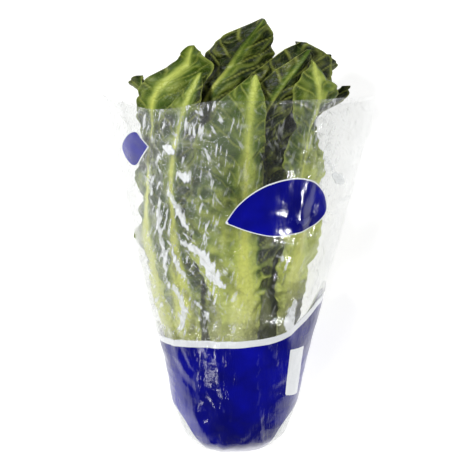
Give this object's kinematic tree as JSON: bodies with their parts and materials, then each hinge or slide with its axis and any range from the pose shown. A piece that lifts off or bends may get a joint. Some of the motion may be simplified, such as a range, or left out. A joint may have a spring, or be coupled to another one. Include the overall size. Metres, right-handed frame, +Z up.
{
  "type": "romaine lettuce head",
  "caption": "Head of romaine lettuce with a pale cut stem, a closed heart and long ribbed leaves, lying in an open tapered clear film sleeve.",
  "frame": {"origin": "on the surface that the sleeve lies on, midway along the head, under its middle", "axes": "+Y from the cut stem to the leaf tips, +Z up from the surface, +X to the right seen from above with the tips away"},
  "size_m": [0.204, 0.357, 0.1266],
  "materials": {
    "stem": "moist pale stem, slightly browned on the cut",
    "heart_leaf": "tender yellow green leaf with white ribs",
    "inner_leaf": "waxy light green leaf with pale ribs and raised veins",
    "outer_leaf": "waxy dark green leaf, blistered between pale veins",
    "film": "clear glossy creased film with printed blue areas"
  },
  "bodies": {
    "root": {"core": "stem", "heart": "heart_leaf", "leaf_inner_1": "inner_leaf", "leaf_inner_2": "inner_leaf", "leaf_inner_3": "inner_leaf", "leaf_inner_4": "inner_leaf", "leaf_inner_5": "inner_leaf", "leaf_inner_6": "inner_leaf", "leaf_inner_7": "inner_leaf", "leaf_inner_8": "inner_leaf", "leaf_inner_9": "inner_leaf", "leaf_tall": "outer_leaf", "leaf_back_right": "outer_leaf", "leaf_side_right": "outer_leaf", "leaf_side_left": "outer_leaf", "leaf_back": "outer_leaf", "leaf_cupped_right": "outer_leaf", "leaf_corner_right": "outer_leaf", "leaf_back_left": "outer_leaf", "leaf_front_left": "outer_leaf", "leaf_folded_right": "outer_leaf", "leaf_front_right": "outer_leaf", "leaf_small_front": "outer_leaf", "leaf_front": "outer_leaf", "sleeve": "film"}
  },
  "joints": []
}
